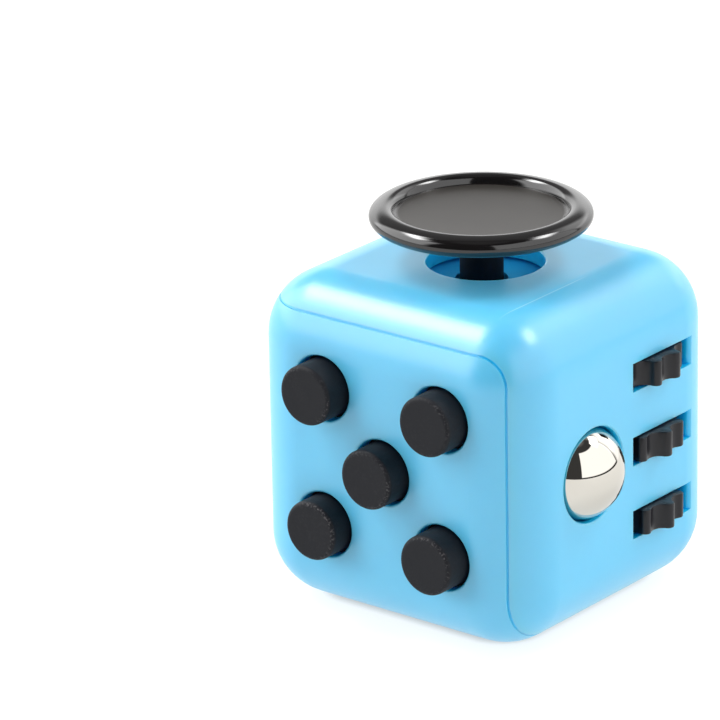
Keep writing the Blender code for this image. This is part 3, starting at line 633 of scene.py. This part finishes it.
# ---- the gliding stick ---------------------------------------------------------------------------
def stick():
    centre = middle("stick_post")
    base = (centre.x, centre.y, 0)
    top = high("stick_cap").z
    outer_r = high("stick_cap").x - centre.x
    rim_r, rim_z, dish_r, dish_z = outer_r - 1.6, 37.5, 8.2, 37.75
    rise = top - rim_z
    outline = [(0, dish_z - 0.13), (3.0, dish_z - 0.12), (6.0, dish_z - 0.08), (7.8, dish_z - 0.03)]
    start = 180 - math.degrees(math.asin((dish_z - rim_z) / rise))
    outline += [(rim_r + x * (rim_r - dish_r), rim_z + z * rise) for x, z in arc((0, 0), 1, start, 90, 9)]
    outline += [(rim_r + x * (outer_r - rim_r), rim_z + z * rise) for x, z in arc((0, 0), 1, 90, -90, 28)[1:]]
    outline += [(8.2, 36.42), (6.0, 36.4), (3.9, 36.4), (3.5, 36.3), (3.4, 36.1), (3.4, 35.2), (3.2, 35.0)]
    outline += [(2.5, 35.0), (2.5, 36.9), (0, 36.9)]
    made = solid("thumb_disc", turned(outline, 160, base))
    dish = made.data.attributes.new("dish", "FLOAT", "POINT")
    for vertex in made.data.vertices:
        inside = math.hypot(vertex.co.x - centre.x, vertex.co.y - centre.y) < dish_r + 0.02
        dish.data[vertex.index].value = float(inside and vertex.co.z > dish_z - 0.2)
    finished(made, "stick", ["stick_cap"], DISC, 50)
    made.visible_diffuse = False                 # the soft fill light reaches under the disc
    post = [(0, 31), (0.9, 31), (0.9, 27.3), (STEM_R - 0.1, 27.3), (STEM_R, 27.4)]
    post += [(STEM_R, 36.5), (STEM_R - 0.1, 36.6), (0, 36.6)]
    finished(solid("thumb_stem", turned(post, 64, base)), "stick", ["stick_post"], STEM)


# ---- the ball and the star wheels ----------------------------------------------------------------
def ball():
    made = solid("steel_ball", sphere(BALL_R, 128, 64, BALL))
    finished(made, "ball", ["roller_ball"], CHROME, 80)


def star_outline():
    """One turn of the wheel's edge around the origin: round tooth tips joined by round hollows."""
    tip = WHEEL_TIP_ROUND
    valley = WHEEL_VALLEY_R
    pitch = 2 * math.pi / WHEEL_TEETH
    reach = WHEEL_TIP_R - tip
    c = math.cos(pitch / 2)
    # the radius at which a hollow just touches both of its neighbouring tips
    hollow = (reach**2 + valley**2 - 2 * reach * valley * c - tip**2) / (2 * (tip - valley + reach * c))
    tip_centre = Vector((reach, 0))
    hollow_centre = (valley + hollow) * Vector((c, math.sin(pitch / 2)))
    meet = tip_centre + (hollow_centre - tip_centre) * tip / (tip + hollow)
    tip_end = math.atan2(meet.y - tip_centre.y, meet.x - tip_centre.x)
    start = math.atan2(meet.y - hollow_centre.y, meet.x - hollow_centre.x) % (2 * math.pi)
    middle_angle = math.pi + pitch / 2
    points = []
    for tooth in range(WHEEL_TEETH):
        turn = Matrix.Rotation(pitch * tooth, 2)
        for i in range(-6, 7):
            angle = tip_end * i / 6
            points.append(turn @ (tip_centre + tip * Vector((math.cos(angle), math.sin(angle)))))
        for i in range(1, 12):
            angle = start + 2 * (middle_angle - start) * i / 12
            points.append(turn @ (hollow_centre + hollow * Vector((math.cos(angle), math.sin(angle)))))
    return points


def star_wheel(name):
    node = "star_wheel_" + name
    low_z, high_z = low(node).z, high(node).z
    turn = Matrix.Rotation(math.radians(WHEEL_PHASE[name]), 2)
    edge = [turn @ p for p in star_outline()]
    bore, chamfer = 1.15, 0.14
    levels = [(chamfer, low_z), (chamfer * 0.3, low_z + chamfer * 0.3), (0, low_z + chamfer)]
    levels += [(0, high_z - chamfer), (chamfer * 0.3, high_z - chamfer * 0.3), (chamfer, high_z)]
    bm = bmesh.new()
    centre = Vector((WHEEL_AXIS.x, WHEEL_AXIS.y))
    rings = []
    for inset, z in levels:
        ring = []
        for p in edge:
            q = centre + p * (1 - inset / p.length)
            ring.append(bm.verts.new((q.x, q.y, z)))
        rings.append(ring)
    for z in (high_z, low_z):
        inner = [centre + p.normalized() * bore for p in edge]
        rings.append([bm.verts.new((q.x, q.y, z)) for q in inner])
    for ring, after in zip(rings, rings[1:] + rings[:1]):
        for i in range(len(edge)):
            j = (i + 1) % len(edge)
            bm.faces.new((ring[i], ring[j], after[j], after[i]))
    finished(solid("wheel_" + name, closed(bm)), "wheel_" + name, [node], WHEEL)


# ---- the dial on the back ------------------------------------------------------------------------
def dial():
    base = (0, 0, MID)
    back, face, out = HALF - DIAL_RECESS + GAP, HALF + DIAL_PROUD, high("dial").y
    stub_r, stub_end = DIAL_STUB
    bore_r, bore_end = DIAL_BORE
    outline = [(0, bore_end), (bore_r, bore_end), (bore_r, stub_end), (stub_r, stub_end), (stub_r, back)]
    outline += [(DIAL_R - 0.1, back), (DIAL_R, back + 0.1), (DIAL_R, face - 0.6)]
    outline += arc((DIAL_R - 0.6, face - 0.6), 0.6, 0, 90, 8)[1:]
    outline += [(7.9, face - 0.02), (7.75, face - 0.14), (7.6, face - 0.02)]
    outline += [(4.0, face - 0.2), (0, face - 0.33)]
    made = solid("spin_dial", turned(outline, 128, base, Y))
    nub = [(0, face - 0.8), (1.9, face - 0.8), (1.9, face - 0.25), (1.68, face + 0.05), (1.6, out - 0.4)]
    nub += arc((1.3, out - 0.3), 0.3, 0, 90, 5)
    nub += [(0.6, out - 0.12), (0, out - 0.18)]
    join(made, turned(nub, 64, (0, 0, MID + NUB_OUT), Y))
    finished(made, "dial", ["dial"], WHEEL)


# ---- the rocker on the left ----------------------------------------------------------------------
def rocker():
    c, s = math.cos(ROCKER_TILT), math.sin(ROCKER_TILT)
    proud = -HALF - low("rocker").x
    reach = HALF + ROCKER_PIVOT.x + proud
    end = math.asin(reach / ROCKER_END_R) - ROCKER_TILT
    centre = ROCKER_END_R * (math.sin(end) - math.cos(end) * math.tan(ROCKER_TILT))
    half = [(0.0, centre), (0.7, centre + 0.08)]
    tip = (ROCKER_END_R * math.cos(end), ROCKER_END_R * math.sin(end))
    half += [(tip[0] - 0.35, tip[1] - 0.12), (tip[0] - 0.1, tip[1] - 0.06), (tip[0], tip[1] - 0.22)]
    half += arc((0, 0), ROCKER_END_R, math.degrees(end) - 3, -5, 10)
    half += arc((0, 0), 1.8, -35, -90, 5)
    outline = half + [(-a, b) for a, b in reversed(half[1:-1])]
    points = [(ROCKER_PIVOT.x - (out * c - along * s), MID + along * c + out * s) for along, out in outline]
    wide = ROCKER_W / 2
    bm = prism(points, -wide, wide, "Y")
    rims = [e for e in bm.edges if all(abs(abs(v.co.y) - wide) < 1e-4 for v in e.verts)]
    bmesh.ops.bevel(bm, geom=rims, offset=ROCKER_BEVEL, segments=3, profile=0.5, affect="EDGES")
    made = solid("rocker_key", closed(bm))
    cut(made, rod(ROCKER_BORE_R, -ROCKER_W, ROCKER_W, 32, ROCKER_PIVOT, Y))
    finished(made, "rocker", ["rocker"], WHEEL, 30)


# ---- what stays as CAD ---------------------------------------------------------------------------
def inner_materials():
    finishes = {
        "blue_plastic": BLUE_INNER, "black_plastic": HIDDEN_BLACK, "black_rubber": RUBBER,
        "white_plastic": WHITE, "circuit_board": BOARD, "steel": STEEL, "polished_steel": CHROME,
    }
    slots = {row["node"]: row["material_slot"] for row in frame["record"]["subparts"]}
    for name, made in frame["nodes"].items():
        for material_slot in made.material_slots:
            material_slot.material = finishes[slots[name]]
        if not made.material_slots:
            made.data.materials.append(finishes[slots[name]])


# ---- camera, light and floor ---------------------------------------------------------------------
SENSOR, LENS = 36.0, 285.1
VIEW = {
    "azimuth": 37.471, "elevation": 21.279, "distance": 548.218,
    "shift_right": -11.942, "shift_up": 5.968, "roll": -1.087,
}


def aimed(centre, azimuth, elevation, distance, shift_right, shift_up, roll):
    """A camera-to-world matrix that looks at the centre from that side, with small offsets of the aim."""
    a, e = math.radians(azimuth), math.radians(elevation)
    back = Vector((math.sin(a) * math.cos(e), -math.cos(a) * math.cos(e), math.sin(e)))
    right = Z.cross(back).normalized()
    up = back.cross(right)
    eye = centre + back * distance
    aim = centre + right * shift_right + up * shift_up
    turn = (aim - eye).to_track_quat("-Z", "Y").to_matrix() @ Matrix.Rotation(math.radians(roll), 3, "Z")
    return Matrix.Translation(eye * MM) @ turn.to_4x4()


def camera():
    data = bpy.data.cameras.new("camera")
    data.sensor_width = SENSOR
    data.lens = LENS
    data.clip_start, data.clip_end = 0.01, 50.0
    made = bpy.data.objects.new("camera", data)
    bpy.context.scene.collection.objects.link(made)
    made.matrix_world = aimed(Vector((0, 0, MID)), **VIEW)
    bpy.context.scene.camera = made


class Sky(Graph):
    """The studio around the cube: a dim room with soft bright panels, each a window in azimuth and elevation.

    Azimuth 0 is the side the buttons face and 90 the side of the ball, both in degrees.
    """

    def __init__(self, room):
        made = bpy.data.worlds.new("studio")
        made.use_nodes = True
        bpy.context.scene.world = made
        super().__init__(made.node_tree)
        self.total = room
        place = self.add("ShaderNodeTexCoord").outputs["Generated"]
        parts = self.add("ShaderNodeSeparateXYZ")
        self.link(place, parts.inputs[0])
        away = self.maths("MULTIPLY", parts.outputs["Y"], -1.0)
        turn = self.maths("ARCTAN2", parts.outputs["X"], away)
        self.azimuth = self.maths("DEGREES", turn)
        self.elevation = self.maths("DEGREES", self.maths("ARCSINE", parts.outputs["Z"]))

    def edge(self, distance, half, soft):
        """1 within half of a panel's middle, falling softly to 0."""
        return self.span(self.maths("ABSOLUTE", distance), half - soft, half + soft, 1.0, 0.0, "SMOOTHSTEP")

    def panel(self, azimuth, elevation, width, height, radiance, soft):
        across = self.maths("WRAP", self.maths("SUBTRACT", self.azimuth, float(azimuth)), 180.0, -180.0)
        up = self.maths("SUBTRACT", self.elevation, float(elevation))
        inside = self.maths("MULTIPLY", self.edge(across, width / 2, soft), self.edge(up, height / 2, soft))
        self.total = self.maths("ADD", self.maths("MULTIPLY", inside, float(radiance)), self.total)

    def finish(self):
        self.link(self.total, self.tree.nodes["Background"].inputs["Color"])


ROOM = 0.06
FLOOR_R = 3000
FLOOR_GLOW = 0.82
FLOOR_DROP = 0.02                        # keeps the floor from lying in the same plane as the underside
FOOT, FOOT_SHADE = 8.0, (1.8, 4.9)       # painted contact shadow: the glow fades out this far around a square under the cube
PANELS = {                               # azimuth, elevation, width, height, radiance, softness of the edges
    "softbox_left": (-77, 54, 44, 10, 16.5, 5.0),
    "softbox_right": (148, 55, 36, 10, 15.0, 5.0),
    "wall_right": (101, 31, 98, 56, 1.65, 1.0),
    "wall_left": (-60, 30, 76, 50, 3.35, 6.0),
    "sweep_behind": (-150, 9, 110, 26, 1.6, 5.0),
    "ceiling": (0, 90, 360, 30, 0.15, 4.0),
    "behind_high": (-150, 40, 120, 60, 0.25, 6.0),
    "corner_fill": (170, 32, 36, 30, 1.7, 8.0),
}


def sky():
    made = Sky(ROOM)
    for panel in PANELS.values():
        made.panel(*panel)
    made.finish()


def floor():
    bm = bmesh.new()
    bmesh.ops.create_circle(bm, cap_ends=True, segments=96, radius=FLOOR_R)
    bmesh.ops.translate(bm, vec=(0, 0, -FLOOR_DROP), verts=bm.verts)
    made = solid("floor", bm)
    made.data.transform(Matrix.Scale(MM, 4))
    n = Nodes("floor_white")
    n.set(colour=n.mix(n.noise(3, 2), (0.24, 0.24, 0.238), (0.26, 0.26, 0.258)), roughness=0.7, specular=0.1)
    parts = n.add("ShaderNodeSeparateXYZ")
    n.link(n.place, parts.inputs[0])
    # Painted contact shadow: the floor's glow fades to nothing close around the cube's footprint.
    squares = []
    for axis in ("X", "Y"):
        beside = n.maths("SUBTRACT", n.maths("ABSOLUTE", parts.outputs[axis]), FOOT * MM)
        squares.append(n.maths("POWER", n.maths("MAXIMUM", beside, 0.0), 2.0))
    away = n.maths("SQRT", n.maths("ADD", *squares))
    glow = n.span(away, FOOT_SHADE[0] * MM, FOOT_SHADE[1] * MM, 0.0, FLOOR_GLOW)
    n.shader.inputs["Emission Color"].default_value = (1.0, 1.0, 0.99, 1.0)
    n.link(glow, n.shader.inputs["Emission Strength"])
    made.data.materials.append(n.material)


def studio():
    camera()
    sky()
    floor()
    bpy.context.scene.view_settings.view_transform = "Standard"


inner_materials()
case_body()
case_cover()
for each in BUTTONS:
    button(each)
stick()
ball()
for each in WHEELS:
    star_wheel(each)
dial()
rocker()
studio()
